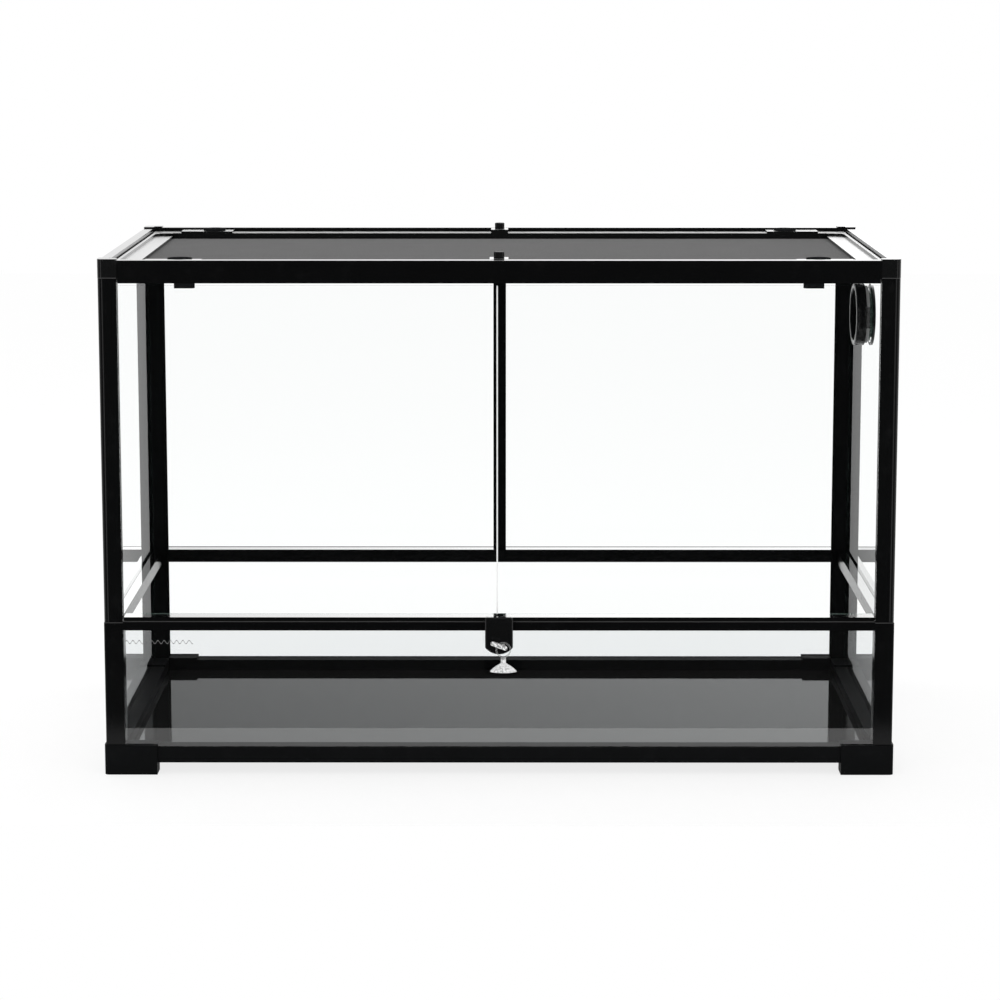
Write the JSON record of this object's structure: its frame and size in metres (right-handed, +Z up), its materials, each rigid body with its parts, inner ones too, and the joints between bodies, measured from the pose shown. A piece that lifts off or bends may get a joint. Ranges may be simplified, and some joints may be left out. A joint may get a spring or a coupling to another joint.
{
  "type": "glass reptile terrarium",
  "caption": "Low, wide glass terrarium with a black frame, hinged glass doors, a sliding door latch with suction-cup pull, a cable port and a lift-off wire screen lid",
  "frame": {"origin": "on the ground under the middle of the whole footprint, the hanging pull included", "axes": "+X to the right along the case's width, +Y to the rear (the doors face -Y), +Z up"},
  "size_m": [0.914, 0.4851, 0.6056],
  "materials": {
    "frame_black": "black powder coat on extruded aluminium",
    "moulded_black": "fine-grained black moulding",
    "lid_black": "satin black moulding",
    "clear_glass": "clear float glass with greenish edges",
    "floor_black": "glossy black sheet",
    "screen_wire": "dark woven wire",
    "knob_black": "black moulded knob",
    "clear_vinyl": "clear soft vinyl",
    "gasket_rubber": "matt black rubber"
  },
  "bodies": {
    "case": {"base_front_rail": "frame_black", "base_left_rail": "frame_black", "base_rear_rail": "frame_black", "base_right_rail": "frame_black", "floor_panel": "floor_black", "foot_front_left": "moulded_black", "foot_front_right": "moulded_black", "foot_rear_left": "moulded_black", "foot_rear_right": "moulded_black", "front_mid_rail": "frame_black", "front_upright_left": "frame_black", "front_upright_right": "frame_black", "latch_guide": "moulded_black", "left_mid_rail": "frame_black", "left_side_glass": "clear_glass", "lower_front_glass": "clear_glass", "lower_front_post_left": "frame_black", "lower_front_post_right": "frame_black", "lower_left_glass": "clear_glass", "lower_rear_glass": "clear_glass", "lower_right_glass": "clear_glass", "port_body": "moulded_black", "port_gasket": "gasket_rubber", "port_ring_nut": "moulded_black", "rear_left_glass": "clear_glass", "rear_mid_rail": "frame_black", "rear_mullion": "frame_black", "rear_post_left": "frame_black", "rear_post_right": "frame_black", "rear_right_glass": "clear_glass", "right_mid_rail": "frame_black", "right_side_glass": "clear_glass", "top_cap_front_left": "moulded_black", "top_cap_front_right": "moulded_black", "top_cap_rear_left": "moulded_black", "top_cap_rear_right": "moulded_black", "top_front_rail": "frame_black", "top_left_rail": "frame_black", "top_rear_rail": "frame_black", "top_right_rail": "frame_black"},
    "left_door": {"left_door_stile": "frame_black", "left_door_glass": "clear_glass"},
    "right_door": {"right_door_stile": "frame_black", "right_door_glass": "clear_glass"},
    "lid": {"lid_front_bar": "lid_black", "lid_rear_bar": "lid_black", "lid_left_end": "lid_black", "lid_right_end": "lid_black", "lid_screen": "screen_wire", "lid_lift_knobs": "knob_black"},
    "lid_latch_fl": {"lid_latch_front_left": "moulded_black"},
    "lid_latch_fr": {"lid_latch_front_right": "moulded_black"},
    "lid_latch_rl": {"lid_latch_rear_left": "moulded_black"},
    "lid_latch_rr": {"lid_latch_rear_right": "moulded_black"},
    "door_latch": {"latch_plate": "moulded_black", "pull_toggle": "clear_vinyl"},
    "pull": {"suction_pull": "clear_vinyl"},
    "shutter": {"port_shutter": "moulded_black"}
  },
  "joints": [
    {"name": "left_door_hinge", "type": "hinge", "parent": "case", "child": "left_door", "pos_m": [-0.449, -0.2065, 0.38], "axis": [0, 0, -1], "range_deg": [0, 110]},
    {"name": "right_door_hinge", "type": "hinge", "parent": "case", "child": "right_door", "pos_m": [0.449, -0.2065, 0.38], "axis": [0, 0, 1], "range_deg": [0, 110]},
    {"name": "lid_lift", "type": "slide", "parent": "case", "child": "lid", "axis": [0, 0, 1], "range_m": [0, 0.06]},
    {"name": "lid_latch_fl_turn", "type": "hinge", "parent": "lid", "child": "lid_latch_fl", "pos_m": [-0.364, -0.1843, 0.58], "axis": [0, 0, -1], "range_deg": [0, 90]},
    {"name": "lid_latch_fr_turn", "type": "hinge", "parent": "lid", "child": "lid_latch_fr", "pos_m": [0.364, -0.1843, 0.58], "axis": [0, 0, 1], "range_deg": [0, 90]},
    {"name": "lid_latch_rl_turn", "type": "hinge", "parent": "lid", "child": "lid_latch_rl", "pos_m": [-0.364, 0.2123, 0.58], "axis": [0, 0, 1], "range_deg": [0, 90]},
    {"name": "lid_latch_rr_turn", "type": "hinge", "parent": "lid", "child": "lid_latch_rr", "pos_m": [0.364, 0.2123, 0.58], "axis": [0, 0, -1], "range_deg": [0, 90]},
    {"name": "door_latch_slide", "type": "slide", "parent": "case", "child": "door_latch", "axis": [0, 0, 1], "range_m": [0, 0.006]},
    {"name": "pull_swing", "type": "hinge", "parent": "door_latch", "child": "pull", "pos_m": [0.005, -0.2238, 0.1545], "axis": [0, 1, 0], "range_deg": [-40, 40]},
    {"name": "shutter_turn", "type": "hinge", "parent": "case", "child": "shutter", "pos_m": [0.452, 0.0485, 0.507], "axis": [1, 0, 0], "range_deg": [0, 180]}
  ]
}
